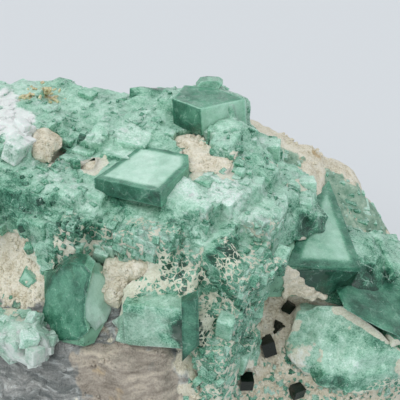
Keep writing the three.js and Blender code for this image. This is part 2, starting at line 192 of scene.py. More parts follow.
# The longest edge of each surface once it is divided, at the front and at the back
CRUST_EDGE = (1.04 * MM, 3.4 * MM)
ROCK_EDGE = (1.35 * MM, 3.2 * MM)
CLEAR_EDGE = (0.8 * MM, 0.9 * MM)
SLAB_EDGE = (0.6 * MM, 0.8 * MM)
BURIED_EDGE = 12 * MM
SPLITS = 7

# The edges grow longer up to this far back, and between these distances to the left and right, where they
# go part of the way to the back's edges
BACK_STARTS = 12 * MM
SIDES_START = (52 * MM, 66 * MM)
SIDES_SHARE = 0.55

# The steps of the terraces: how far apart, how strong, and the seed of their waves
TERRACES = ((6.5 * MM, 0.55, 61), (2.9 * MM, 0.35, 71))
LEFT_LATTICE = (12, 6, -27)
RIGHT_LATTICE = (14, 18, 16)

# How wide the dark rims of a crystal, the painted shade in its creases, and its worn edges are
RIM_WIDTH = 1.5 * MM
CREASE_SHADE_WIDTH = 1.2 * MM
WORN_WIDTH = 1.4 * MM

# The studio
FLOOR_SIDE = 4.0
FLOOR_COLOUR = (212, 216, 219)
SKY_COLOUR = (0.9, 0.92, 0.95, 1)
SKY_STRENGTH = 0.76
KEY_FROM = (-0.45, -0.8, 1.1)
KEY_STRENGTH = 1.35
KEY_SPREAD = 60

TOUCHING = 0.15 * MM
LEAST_WEIGHT = 1e-9
SHARP_ANGLE = math.radians(25)
FLUORITE_IOR = 1.434
random = np.random.default_rng(7)


def direction_of_view():
    return Vector((0, math.cos(ELEVATION), -math.sin(ELEVATION)))


def ray_through(pixel):
    """The eye and the direction of the ray through a pixel of the photograph."""
    forward = direction_of_view()
    up = Vector((0, math.sin(ELEVATION), math.cos(ELEVATION)))
    half = SENSOR / (2 * LENS)
    across = (2 * pixel[0] / PHOTO_SIDE - 1) * half
    down = (2 * pixel[1] / PHOTO_SIDE - 1) * half
    direction = forward + Vector((1, 0, 0)) * across - up * down
    return TARGET - forward * DISTANCE, direction.normalized()


# Noise

def hashed(i, j, k, seed):
    s = np.sin(i * 127.1 + j * 311.7 + k * 74.7 + seed * 53.3) * 43758.5453
    return s - np.floor(s)


def noise(points, lump, seed=0):
    """Smooth noise from -1 to 1 at each point, with lumps of the given size."""
    q = points / lump
    cell = np.floor(q)
    t = q - cell
    t = t * t * (3 - 2 * t)
    total = np.zeros(len(points))
    for a in (0, 1):
        for b in (0, 1):
            for c in (0, 1):
                share = np.abs(1 - a - t[:, 0]) * np.abs(1 - b - t[:, 1]) * np.abs(1 - c - t[:, 2])
                total += share * hashed(cell[:, 0] + a, cell[:, 1] + b, cell[:, 2] + c, seed)
    return 2 * total - 1


def layered(points, lump, layers, seed=0):
    """Noise with finer and finer lumps laid over one another."""
    return sum(noise(points, lump / 2**n, seed + n) / 2**n for n in range(layers))


def smooth(value, low, high):
    t = np.clip((value - low) / (high - low), 0, 1)
    return t * t * (3 - 2 * t)


# Surfaces as arrays of points and triangles

def arrays_of(node):
    """The points and triangles of a CAD node, with points at the same place merged."""
    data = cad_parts[node].data
    points = np.empty(len(data.vertices) * 3)
    data.vertices.foreach_get("co", points)
    data.calc_loop_triangles()
    triangles = np.empty(len(data.loop_triangles) * 3, int)
    data.loop_triangles.foreach_get("vertices", triangles)
    rounded = np.round(points.reshape(-1, 3) / (0.001 * MM)).astype(int)
    _, first, merged = np.unique(rounded, axis=0, return_index=True, return_inverse=True)
    triangles = merged.reshape(-1)[triangles].reshape(-1, 3)
    whole = (triangles != np.roll(triangles, 1, axis=1)).all(axis=1)
    return points.reshape(-1, 3)[first], triangles[whole]


def scaled_normals(points, triangles):
    """The normal of each triangle, as long as twice its area."""
    a, b, c = (points[triangles[:, n]] for n in range(3))
    return np.cross(b - a, c - a)


def unit(vectors):
    return vectors / np.maximum(np.linalg.norm(vectors, axis=-1, keepdims=True), 1e-20)


def point_normals(points, triangles):
    weighted = scaled_normals(points, triangles)
    total = np.zeros_like(points)
    for n in range(3):
        np.add.at(total, triangles[:, n], weighted)
    return unit(total)


def longest_allowed(middles, edge):
    front, back = edge
    aside = smooth(np.abs(middles[:, 0] - TARGET[0]), *SIDES_START)
    allowed = front + (back - front) * np.maximum(smooth(middles[:, 1], 0, BACK_STARTS), SIDES_SHARE * aside)
    return allowed * (1 - 0.4 * zone_weight(middles, "rim", 0))


def refine(points, triangles, edge, buried=None):
    """Splits every edge that is longer than allowed, again and again. Buried faces stay coarse."""
    if buried is None:
        buried = np.zeros(len(points), bool)
    for _ in range(SPLITS):
        ends = np.stack([triangles, np.roll(triangles, -1, axis=1)], axis=2).reshape(-1, 2)
        ends.sort(axis=1)
        keys, first, side = np.unique(
            ends[:, 0] * len(points) + ends[:, 1], return_index=True, return_inverse=True
        )
        a, b = points[ends[first, 0]], points[ends[first, 1]]
        unseen = buried[ends[first, 0]] & buried[ends[first, 1]]
        allowed = np.where(unseen, BURIED_EDGE, longest_allowed((a + b) / 2, edge))
        long = np.linalg.norm(a - b, axis=1) > allowed
        if not long.any():
            break
        middle = np.full(len(keys), -1)
        middle[long] = len(points) + np.arange(long.sum())
        points = np.vstack([points, ((a + b) / 2)[long]])
        buried = np.concatenate([buried, unseen[long]])
        triangles = split(triangles, middle[side.reshape(-1, 3)])
    return points, triangles


def split(triangles, middles):
    """Splits each triangle at the middles of its sides, where a side has one."""
    count = (middles >= 0).sum(axis=1)
    pieces = [triangles[count == 0]]

    def add(*corners):
        pieces.append(np.stack(corners, axis=1))

    for turn in range(3):
        t, m = np.roll(triangles, -turn, axis=1), np.roll(middles, -turn, axis=1)
        one = (count == 1) & (m[:, 0] >= 0)
        add(t[one, 0], m[one, 0], t[one, 2])
        add(m[one, 0], t[one, 1], t[one, 2])
        two = (count == 2) & (m[:, 2] < 0)
        add(m[two, 0], t[two, 1], m[two, 1])
        add(t[two, 0], m[two, 0], m[two, 1])
        add(t[two, 0], m[two, 1], t[two, 2])
    t, m = triangles[count == 3], middles[count == 3]
    add(t[:, 0], m[:, 0], m[:, 2])
    add(m[:, 0], t[:, 1], m[:, 1])
    add(m[:, 2], m[:, 1], t[:, 2])
    add(m[:, 0], m[:, 1], m[:, 2])
    return np.vstack(pieces)


def relax(points, triangles, rounds, share):
    """Smooths the surface by moving each point towards the middle of its neighbours, as far as its share."""
    a = triangles.reshape(-1)
    b = np.roll(triangles, -1, axis=1).reshape(-1)
    count = np.maximum(np.bincount(a, minlength=len(points)), 1)[:, None]
    for _ in range(rounds):
        total = np.stack([np.bincount(a, points[b, n], len(points)) for n in range(3)], axis=1)
        points = points + (total / count - points) * share[:, None]
    return points


def sharp_edges(points, triangles):
    """Spots along the sharp edges of a faceted solid: its ridges, and its creases."""
    normals = unit(scaled_normals(points, triangles))
    centres = points[triangles].mean(axis=1)
    seen = {}
    found = {"ridge": [], "crease": []}
    for face, corners in enumerate(triangles.tolist()):
        for n in range(3):
            a, b = corners[n], corners[(n + 1) % 3]
            key = (min(a, b), max(a, b))
            if key not in seen:
                seen[key] = face
                continue
            other = seen[key]
            if normals[face] @ normals[other] > math.cos(SHARP_ANGLE):
                continue
            outward = normals[face] @ (centres[other] - centres[face]) < 0
            steps = max(2, round(np.linalg.norm(points[a] - points[b]) / (0.5 * MM)))
            for share in np.linspace(0, 1, steps):
                found["ridge" if outward else "crease"].append(points[a] * (1 - share) + points[b] * share)
    return found


def distances(spots, points):
    """How far each point is from the nearest of the spots."""
    if not spots:
        return np.full(len(points), 1.0)
    tree = KDTree(len(spots))
    for n, spot in enumerate(spots):
        tree.insert(spot, n)
    tree.balance()
    return np.array([tree.find(p)[2] for p in points])


# Zones

solids = {name: arrays_of(name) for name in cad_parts}


def whole_surface():
    points, polygons, start = [], [], 0
    for node_points, triangles in solids.values():
        points.extend(node_points.tolist())
        polygons.extend((triangles + start).tolist())
        start += len(node_points)
    return BVHTree.FromPolygons(points, polygons)


surface = whole_surface()


def lying_on(node, other):
    """Which points of a node lie on the surface of another node, and so are out of sight."""
    points, triangles = solids[other]
    tree = BVHTree.FromPolygons(points.tolist(), triangles.tolist())
    return np.array([tree.find_nearest(Vector(spot))[3] < TOUCHING for spot in solids[node][0]])


def place_at(pixel):
    """The point of the specimen's surface that shows at a pixel of the photograph."""
    eye, direction = ray_through(pixel)
    spot = surface.ray_cast(eye, direction)[0]
    return spot if spot is not None else eye + direction * DISTANCE


PLACED = {
    layer: [(np.array(place_at(pixel)), radius * MM, strength) for *pixel, radius, strength in spots]
    for layer, spots in ZONES.items()
}


def zone_weight(points, layer, ragged=0.35):
    """How strongly a layer's zones are felt at each point. Their edges are ragged."""
    edge = ragged * (noise(points, 3.1 * MM, 11) + 0.6 * noise(points, 1.3 * MM, 12))
    total = np.zeros(len(points))
    for place, radius, strength in PLACED[layer]:
        away = np.linalg.norm(points - place, axis=1) / radius
        total = np.maximum(total, strength * (1 - smooth(away + edge, 0.55, 1.15)))
    return total


COLOUR_LAYERS = ("cream", "speckle", "white", "grey", "tan", "ochre", "green")


def looks_at(points, normals):
    """The layers of colour at each point. Frost runs from 0, deep clear green, to 1, pale mint, and is
    raised on faces that look up as painted light.
    """
    looks = {layer: zone_weight(points, layer) for layer in COLOUR_LAYERS}
    looks["frost"] = frost_at(points) + painted_top_light(normals)
    looks["speckle"] = looks["speckle"] * (1 - zone_weight(points, "plain", 0.1))
    return looks


def frost_at(points):
    frost = 0.5 + 0.1 * noise(points, 14 * MM, 21) + 0.08 * noise(points, 5 * MM, 22)
    return frost + 0.9 * zone_weight(points, "frost") - 0.8 * zone_weight(points, "deep")


# Paler on faces that look up: painted light on the tops, added to the frost
def painted_top_light(normals):
    return 0.1 * smooth(normals[..., 2], 0.2, 0.9)


# Terraces of parallel crystals

def terraced(points, angles, period, share, seed):
    """Moves points towards the steps of a lattice, so that a smooth surface becomes terraced."""
    axes = np.array(Euler([math.radians(angle) for angle in angles]).to_matrix())
    across = points @ axes
    wave = np.stack([noise(points, 3.2 * period, seed + n) for n in range(3)], axis=1)
    steps = across / period + 0.7 * wave
    below = np.floor(steps)
    snapped = below + smooth(steps - below, 0.36, 0.64)
    return points + share[:, None] * (snapped - steps) * period @ axes.T


def grown(points, share):
    """Terraces turned one way on the left and in the middle, and another way on the right."""
    right = smooth(points[:, 0], 22 * MM, 50 * MM)
    for period, amount, seed in TERRACES:
        for angles, side in ((LEFT_LATTICE, 1 - right), (RIGHT_LATTICE, right)):
            points = terraced(points, angles, period, amount * share * side, seed)
    return points


# Making objects

def make_object(name, points, triangles, material, looks=(), smooth_angle=None):
    """A mesh object that moves with the part. Looks are values for each point, kept as attributes."""
    inside = np.clip(points, np.array(cad_low) + BOX_MARGIN, np.array(cad_high) - BOX_MARGIN)
    inside[:, 2] = np.clip(points[:, 2], cad_low.z, cad_high.z - BOX_MARGIN)
    data = bpy.data.meshes.new(name)
    data.from_pydata(inside.tolist(), [], triangles.tolist())
    for layer, values in dict(looks).items():
        attribute = data.attributes.new(layer, "FLOAT", "POINT")
        attribute.data.foreach_set("value", np.asarray(values, np.float32))
    if smooth_angle is not None:
        data.polygons.foreach_set("use_smooth", np.ones(len(data.polygons), bool))
        data.set_sharp_from_angle(angle=math.radians(smooth_angle))
    data.materials.append(material)
    data.update()
    piece = bpy.data.objects.new(name, data)
    bpy.context.scene.collection.objects.link(piece)
    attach(piece, "root")
    return piece


# Materials, from nodes

def linear(colour):
    """A colour given as it shows, from 0 to 255, as linear values."""
    shares = [c / 255 for c in colour]
    return tuple(c / 12.92 if c <= 0.04045 else ((c + 0.055) / 1.055) ** 2.4 for c in shares)


class Shader:
    """A material's node tree, with short ways to add nodes."""

    def __init__(self, name):
        self.material = bpy.data.materials.new(name)
        self.material.use_nodes = True
        self.tree = self.material.node_tree
        self.surface = self.tree.nodes["Principled BSDF"]
        self.output = self.tree.nodes["Material Output"]
        self.place = self.add("ShaderNodeTexCoord").outputs["Object"]

    def add(self, kind, inputs=(), **settings):
        node = self.tree.nodes.new(kind)
        for name, value in settings.items():
            setattr(node, name, value)
        for name, value in dict(inputs).items():
            self.feed(node.inputs[name], value)
        return node

    def feed(self, socket, value):
        if isinstance(value, bpy.types.NodeSocket):
            self.tree.links.new(value, socket)
        else:
            socket.default_value = value

    def set(self, **values):
        for name, value in values.items():
            self.feed(self.surface.inputs[name.replace("_", " ")], value)

    def attribute(self, name):
        return self.add("ShaderNodeAttribute", attribute_name=name).outputs["Fac"]

    def math(self, operation, a, b=0.0):
        return self.add("ShaderNodeMath", {0: a, 1: b}, operation=operation).outputs[0]

    def times(self, a, b):
        return self.math("MULTIPLY", a, b)

    def sum(self, *values):
        total = values[0]
        for value in values[1:]:
            total = self.math("ADD", total, value)
        return total

    def vector(self, operation, a, b):
        return self.add("ShaderNodeVectorMath", {0: a, 1: b}, operation=operation).outputs[0]

    def noise(self, size, detail=2.0, place=None):
        """Noise around 0, from about -0.5 to 0.5."""
        inputs = {"Vector": place or self.place, "Scale": 1 / size, "Detail": detail}
        return self.sum(self.add("ShaderNodeTexNoise", inputs).outputs["Fac"], -0.5)

    def cells(self, size, feature="F1", place=None, **settings):
        inputs = {"Vector": place or self.place, "Scale": 1 / size}
        return self.add("ShaderNodeTexVoronoi", inputs, feature=feature, **settings)

    def bent(self, size, amount):
        """The surface's place, shifted about by noise."""
        wave = self.add("ShaderNodeTexNoise", {"Vector": self.place, "Scale": 1 / size}).outputs["Color"]
        return self.vector("ADD", self.place, self.vector("MULTIPLY", wave, (amount,) * 3))

    def mapped(self, place, **settings):
        """A place, turned or stretched."""
        return self.add("ShaderNodeMapping", {"Vector": place, **settings}).outputs[0]

    def between(self, value, low, high, to_low=0.0, to_high=1.0):
        inputs = {"Value": value, "From Min": low, "From Max": high, "To Min": to_low, "To Max": to_high}
        return self.add("ShaderNodeMapRange", inputs, interpolation_type="SMOOTHSTEP").outputs[0]

    def ramp(self, value, stops):
        node = self.add("ShaderNodeValToRGB", {"Fac": value})
        elements = node.color_ramp.elements
        for element, (position, colour) in zip(elements, (stops[0], stops[-1])):
            element.position = position
            element.color = (*linear(colour), 1)
        for position, colour in stops[1:-1]:
            elements.new(position).color = (*linear(colour), 1)
        return node.outputs["Color"]

    def mix(self, share, a, b):
        """Colour a, or where the share is 1, colour b."""
        node = self.add("ShaderNodeMix", {0: share}, data_type="RGBA")
        for socket, value in ((node.inputs[6], a), (node.inputs[7], b)):
            self.feed(socket, value if isinstance(value, bpy.types.NodeSocket) else (*linear(value), 1))
        return node.outputs[2]

    def bump(self, height, depth, strength=1.0, normal=None):
        node = self.add("ShaderNodeBump", {"Height": height, "Distance": depth, "Strength": strength})
        if normal is not None:
            self.feed(node.inputs["Normal"], normal)
        return node.outputs["Normal"]

    def mosaic(self, size, tilt, place):
        """Blocky cells, each with its own brightness from -0.5 to 0.5 and its own slightly tilted normal."""
        colour = self.cells(size, place=place, distance="CHEBYCHEV").outputs["Color"]
        own = self.vector("SUBTRACT", colour, (0.5,) * 3)
        normal = self.add("ShaderNodeNewGeometry").outputs["Normal"]
        leaning = self.vector("ADD", normal, self.vector("MULTIPLY", own, (tilt,) * 3))
        brightness = self.add("ShaderNodeSeparateXYZ", {0: own}).outputs[0]
        return brightness, self.vector("NORMALIZE", leaning, (0,) * 3)


GREENS = [
    (0.0, (30, 68, 54)),
    (0.15, (58, 114, 92)),
    (0.32, (96, 154, 128)),
    (0.5, (140, 188, 164)),
    (0.7, (172, 212, 192)),
    (0.88, (200, 231, 215)),
    (1.0, (226, 244, 236)),
]
ROCK_BETWEEN = [(0, (172, 170, 146)), (0.6, (212, 214, 194)), (1, (232, 236, 222))]
CREAM = (224, 218, 198)
CREAM_DARK = (184, 174, 148)
WHITE = (228, 236, 232)
VEIN_GREEN = (200, 232, 216)
CRACK_GREEN = (66, 116, 94)
PAINTED_GLINT_WHITE = (238, 246, 242)
STAIN = (176, 142, 74)
GREY_GREEN = (150, 164, 152)
LATTICE = [math.radians(angle) for angle in (10, 5, -26)]


def fluorite_material(name, mottling=1.0):
    """Frosted to clear green, with cream rock in the hollows between small crystals."""
    s = Shader(name)
    speckle = s.attribute("speckle")
    fine = s.noise(0.5 * MM, 3)
    middle = s.noise(1.9 * MM, 3)
    broad = s.noise(6.5 * MM, 2)
    lattice = s.mapped(s.bent(5 * MM, 1.5 * MM), Rotation=LATTICE)
    block, tilted = s.mosaic(2.4 * MM, 0.35, lattice)
    specks = s.noise(0.28 * MM, 1)
    value = s.sum(
        s.attribute("frost"), s.times(broad, 0.35 * mottling), s.times(middle, 0.5 * mottling),
        s.times(fine, 0.6 * mottling), s.times(block, 0.12 * mottling), s.times(specks, 0.55 * mottling),
    )
    bent = s.bent(0.9 * MM, 1.1 * MM)
    grains = s.cells(1.5 * MM, "DISTANCE_TO_EDGE", bent).outputs["Distance"]
    grain_colour = s.cells(1.5 * MM, "F1", bent).outputs["Color"]
    grain = s.add("ShaderNodeSeparateColor", {"Color": grain_colour}).outputs[0]
    value = s.sum(value, s.times(speckle, s.sum(s.times(grain, 0.4), -0.42)))
    green = s.ramp(value, GREENS)

    veins = s.cells(4.6 * MM, "DISTANCE_TO_EDGE", s.bent(3 * MM, 3.2 * MM)).outputs["Distance"]
    vein = s.times(s.between(veins, 0.0, 0.04, 1, 0), s.between(middle, -0.08, 0.1))
    green = s.mix(s.times(vein, 0.5 * mottling), green, VEIN_GREEN)
    cracks = s.cells(3.1 * MM, "DISTANCE_TO_EDGE", s.bent(2 * MM, 2.6 * MM)).outputs["Distance"]
    crack = s.times(s.between(cracks, 0.0, 0.035, 1, 0), s.between(middle, 0.08, -0.1))
    green = s.mix(s.times(crack, 0.4 * mottling), green, CRACK_GREEN)

    # Painted glints: tiny white specks standing in for highlights off small crystal faces
    painted_glint_cells = s.cells(1.1 * MM).outputs["Distance"]
    painted_glint = s.times(s.between(painted_glint_cells, 0.1, 0.2, 1, 0), s.between(middle, 0.0, 0.1))
    green = s.mix(s.times(painted_glint, 0.6 * mottling), green, PAINTED_GLINT_WHITE)

    wide = s.sum(s.times(speckle, 0.16), s.times(middle, 0.6), s.times(broad, 0.35), -0.02)
    net = s.between(s.math("SUBTRACT", grains, wide), -0.02, 0.03, 1, 0)
    net = s.times(net, s.between(s.sum(speckle, s.times(broad, 0.6)), 0.25, 0.5))
    cream = s.sum(s.attribute("cream"), s.times(s.noise(1.2 * MM, 3), 0.7))
    cream = s.between(cream, 0.42, 0.56)
    rock = s.math("MAXIMUM", net, cream)
    rock_tone = s.sum(0.6, fine, s.times(middle, 0.5), s.times(specks, 0.6))
    colour = s.mix(rock, green, s.ramp(rock_tone, ROCK_BETWEEN))

    white = s.between(s.sum(s.attribute("white"), s.times(middle, 0.9), s.times(fine, 0.5)), 0.2, 0.8)
    colour = s.mix(white, colour, WHITE)
    stain = s.between(s.sum(s.attribute("ochre"), s.times(middle, 0.8)), 0.3, 0.8)
    colour = s.mix(s.times(stain, 0.75), colour, STAIN)
    grey = s.between(s.sum(s.attribute("grey"), s.times(broad, 0.6)), 0.3, 0.9)
    colour = s.mix(s.times(grey, 0.35), colour, GREY_GREEN)

    dull = s.math("MAXIMUM", rock, white)
    gloss = s.between(value, 0.1, 0.9, 0.16, 0.5)
    rough = s.sum(s.times(gloss, s.math("SUBTRACT", 1.0, dull)), s.times(dull, 0.8))
    height = s.sum(fine, s.times(middle, 1.4), s.times(rock, 0.3))
    s.set(Base_Color=colour, Roughness=rough, Normal=s.bump(height, 0.45 * MM * mottling, 0.5, tilted))
    s.set(IOR=FLUORITE_IOR, Coat_Roughness=0.1, Coat_Weight=0.25)
    s.set(Subsurface_Weight=0.5, Subsurface_Radius=(0.8, 1.0, 0.9), Subsurface_Scale=3 * MM)
    return s.material


OCHRES = [(0.1, (150, 140, 100)), (0.5, (206, 200, 160)), (0.9, (232, 230, 206))]


def ochre_material(name):
    s = Shader(name)
    value = s.sum(0.5, s.noise(0.6 * MM, 2), s.times(s.noise(3 * MM, 2), 0.8))
    s.set(Base_Color=s.ramp(value, OCHRES))
    s.set(Roughness=0.4, IOR=FLUORITE_IOR, Subsurface_Weight=0.2, Subsurface_Scale=1.0 * MM)
    return s.material


SANDS = [(0, (132, 124, 100)), (0.3, CREAM_DARK), (0.6, CREAM), (0.9, (238, 234, 220))]
GREYS = [(0, (74, 82, 82)), (0.4, (118, 122, 120)), (0.75, (156, 157, 154)), (1, (200, 202, 198))]
TANS = [(0, (112, 104, 92)), (0.5, (160, 152, 140)), (1, (204, 194, 176))]
ROCK_GREENS = [(0.1, (92, 134, 112)), (0.5, (150, 180, 158)), (0.9, (198, 216, 196))]
VEIL = (196, 202, 200)
ROCK_STAIN = (172, 140, 78)
DARK_SPECK = (84, 92, 76)


def rock_material(name):
    """Cream sandy rock, grey and streaked with tan at the lower front."""
    s = Shader(name)
    fine = s.noise(0.45 * MM, 3)
    middle = s.noise(2.2 * MM, 4)
    broad = s.noise(11 * MM, 3)
    value = s.sum(0.6, s.times(fine, 0.9), s.times(middle, 0.9), s.times(broad, 0.5))
    cream = s.ramp(value, SANDS)

    stretched = s.mapped(s.bent(9 * MM, 6 * MM), Scale=(0.16, 0.5, 1.3))
    streaks = s.noise(2.4 * MM, 5, stretched)
    fibres = s.noise(0.9 * MM, 4, stretched)
    grey_value = s.sum(0.52, s.times(streaks, 1.5), s.times(fibres, 1.0), s.times(fine, 0.7))
    grey = s.ramp(grey_value, GREYS)
    veil = s.between(s.sum(fibres, s.times(middle, 0.6)), 0.02, 0.22)
    grey = s.mix(s.times(veil, 0.55), grey, VEIL)
    tan = s.ramp(grey_value, TANS)
    grey = s.mix(s.between(s.sum(s.attribute("tan"), s.times(streaks, 0.6)), 0.3, 0.7), grey, tan)
    share = s.between(s.sum(s.attribute("grey"), s.times(middle, 0.5)), 0.3, 0.6)
    colour = s.mix(share, cream, grey)

    growth = s.between(s.sum(s.attribute("green"), s.times(middle, 0.8), s.times(fine, 0.3)), 0.35, 0.6)
    bands = s.sum(0.45, s.times(streaks, 1.4), s.times(middle, 0.8), s.times(fine, 0.6))
    colour = s.mix(growth, colour, s.ramp(bands, ROCK_GREENS))
    stain = s.between(s.sum(s.attribute("ochre"), s.times(streaks, 1.2)), 0.4, 0.9)
    colour = s.mix(s.times(stain, 0.7), colour, ROCK_STAIN)
    specks = s.cells(1.3 * MM, "F1", s.bent(1 * MM, 1 * MM)).outputs["Distance"]
    specks = s.times(s.between(specks, 0.1, 0.24, 1, 0), s.between(middle, 0.02, 0.12))
    colour = s.mix(s.times(specks, 0.6), colour, DARK_SPECK)
    height = s.sum(fine, s.times(middle, 1.6), s.times(fibres, 0.8))
    rough = s.between(fine, -0.3, 0.3, 0.72, 0.95)
    s.set(Base_Color=colour, Roughness=rough, Normal=s.bump(height, 0.6 * MM, 0.7))
    s.set(Subsurface_Weight=0.08, Subsurface_Radius=(1.0, 0.8, 0.6), Subsurface_Scale=1.0 * MM)
    return s.material


def clear_material(name, stops, absorption, density, clearest):
    """Clear green crystal, frosted where its frost attribute is high."""
    s = Shader(name)
    middle = s.noise(2.2 * MM, 3)
    fine = s.noise(0.5 * MM, 3)
    broad = s.noise(6 * MM, 2)
    value = s.sum(s.attribute("frost"), s.times(middle, 0.22), s.times(fine, 0.2), s.times(broad, 0.2))
    frosted = s.between(value, 0.25, 0.7)
    cream = s.sum(s.attribute("cream"), s.times(middle, 0.8), s.times(s.noise(1.1 * MM, 3), 0.6))
    cream = s.between(cream, 0.4, 0.56)
    dull = s.math("MAXIMUM", frosted, cream)
    s.set(Base_Color=s.mix(cream, s.ramp(value, stops), CREAM))
    s.set(Transmission_Weight=s.between(dull, 0, 1, clearest, 0.03))
    s.set(Roughness=s.between(dull, 0, 1, 0.08, 0.5), IOR=FLUORITE_IOR)
    s.set(Normal=s.bump(s.sum(middle, s.times(fine, 0.6)), 0.35 * MM, 0.3))
    inside = s.add("ShaderNodeVolumeAbsorption", {"Color": (*linear(absorption), 1), "Density": density})
    s.tree.links.new(inside.outputs[0], s.output.inputs["Volume"])
    return s.material


fluorite = fluorite_material("fluorite")
smooth_fluorite = fluorite_material("smooth_fluorite", 0.35)
cream_rock = rock_material("cream_rock")
CLEAR_GREENS = [(0.05, (44, 100, 76)), (0.3, (84, 148, 118)), (0.6, (142, 192, 164)), (1, (200, 228, 212))]
BLACK_GREENS = [(0.1, (24, 38, 28)), (0.5, (44, 60, 46)), (0.75, (84, 100, 82)), (1, (150, 156, 140))]
clear_green = clear_material("clear_green", CLEAR_GREENS, (90, 190, 140), 60, 0.65)
ochre = ochre_material("ochre")
near_black = clear_material("near_black_green", BLACK_GREENS, (40, 90, 70), 500, 0.5)


# The crystals' surfaces

def dressed_crystal(name, node, material, edge, slot, rounds=0, rim=None, extra_frost=0.0):
    """A CAD node of crystals with worn edges, fine relief and layered colour, with dark rims, and painted
    shade in its creases and on its faces that don't look up.
    """
    points, triangles = solids[node]
    found = sharp_edges(points, triangles)
    points, triangles = refine(points, triangles, edge, lying_on(node, "matrix_rock"))
    from_ridge = distances(found["ridge"], points)
    from_crease = distances(found["crease"], points)
    crisp = zone_weight(points, "crisp", 0.1)
    if rounds:
        points = relax(points, triangles, rounds, 0.5 * (1 - crisp))
        points = grown(points, 1 - crisp)
    normals = point_normals(points, triangles)
    rims = zone_weight(points, "rim", 0.1) if rim is None else rim
    looks = looks_at(points, normals)
    upward = smooth(normals[:, 2], 0.35, 0.7)
    # Dark glassy rims along the ridges of upward faces; faces that don't look up get painted shade, and so
    # do the creases
    rims_and_painted_shade = (0.45 * np.exp(-((from_ridge / RIM_WIDTH) ** 4)) * upward + 0.4 * (1 - upward)) * rims
    rims_and_painted_shade += 0.2 * np.exp(-((from_crease / CREASE_SHADE_WIDTH) ** 2)) * crisp
    looks["frost"] = looks["frost"] - rims_and_painted_shade + extra_frost
    worn = smooth(from_ridge, 0, WORN_WIDTH)
    rough = 0.3 * layered(points, 3.2 * MM, 3, 33)
    height = (rough * (0.35 + 0.65 * worn) - 0.15 * (1 - worn) - 0.1) * (1 - 0.6 * crisp)
    points = points + normals * height[:, None] * MM
    piece = make_object(name, points, triangles, material, looks, smooth_angle=45)
    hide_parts(node)
    return points, triangles


crust = dressed_crystal("fluorite_crystals", "fluorite_crust", fluorite, CRUST_EDGE, "crust", rounds=40)
PALE = {"slot": "pale_fluorite", "rim": 0.0, "extra_frost": 0.05}
dressed_crystal("pale_wedge_face", "pale_wedge", fluorite, CLEAR_EDGE, rounds=5, **PALE)
lump = dressed_crystal("lower_left_lump_face", "lower_left_lump", fluorite, CLEAR_EDGE, rounds=12, **PALE)
for node in ("tall_dark_crystal", "corner_crystal"):
    dressed_crystal(node + "_face", node, clear_green, CLEAR_EDGE, "clear_crystal")


# The rock

# Where the rock shows through the crust: the pixel of each opening, and its radius in pixels
PIXEL = DISTANCE * SENSOR / LENS / PHOTO_SIDE
OPENINGS = [((47, 144), 16), ((190, 140), 14), ((205, 160), 20), ((224, 171), 16), ((124, 282), 26)]


def flattened(points):
    """Cuts the rock's knobs down to the level of the crystals around them."""
    for (across, down), radius in OPENINGS:
        angles = np.linspace(0, 2 * math.pi, 16, endpoint=False)
        ring = np.array([
            place_at((across + 1.4 * radius * math.cos(angle), down + 1.2 * radius * math.sin(angle)))
            for angle in angles
        ])
        middle = np.median(ring, axis=0)
        normal = np.linalg.svd(ring - middle)[2][2]
        normal *= np.sign(normal @ -np.array(direction_of_view()))
        above = (points - middle) @ normal + (0.2 - 0.5 * noise(points, 2.6 * MM, 45)) * MM
        away = np.linalg.norm(points - middle, axis=1) / (radius * PIXEL)
        cut = 0.9 * np.clip(above, 0, None) * (1 - smooth(away, 1.6, 2.2))
        points = points - cut[:, None] * normal
    return points


def behind(points):
    return smooth(points[:, 1], 10 * MM, 25 * MM)


def dressed_rock():
    points, triangles = refine(*solids["matrix_rock"], ROCK_EDGE, lying_on("matrix_rock", "fluorite_crust"))
    points = flattened(relax(points, triangles, 6, np.full(len(points), 0.5)))
    normals = point_normals(points, triangles)
    looks = looks_at(points, normals)
    broken = 3.0 * noise(points, 17 * MM, 47) + 5.5 * np.abs(noise(points, 11 * MM, 49)) - 2.0
    pits = smooth(noise(points, 4.2 * MM, 43), 0.4, 0.8)
    height = 0.9 * layered(points, 5.5 * MM, 4, 41) + broken * behind(points) - 1.0 * pits - 0.2
    above_foot = smooth(points[:, 2], 0, 2 * MM)
    points = points + normals * (height * above_foot * MM)[:, None]
    piece = make_object("rock", points, triangles, cream_rock, looks, smooth_angle=50)
    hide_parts("matrix_rock")
    return points, triangles


rock = dressed_rock()
for number in range(1, 7):
    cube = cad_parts[f"small_cube_{number}"]
    cube.data.materials.clear()
    cube.data.materials.append(near_black)


# The larger crystals, whose faces are given by the photograph's pixels of their corners

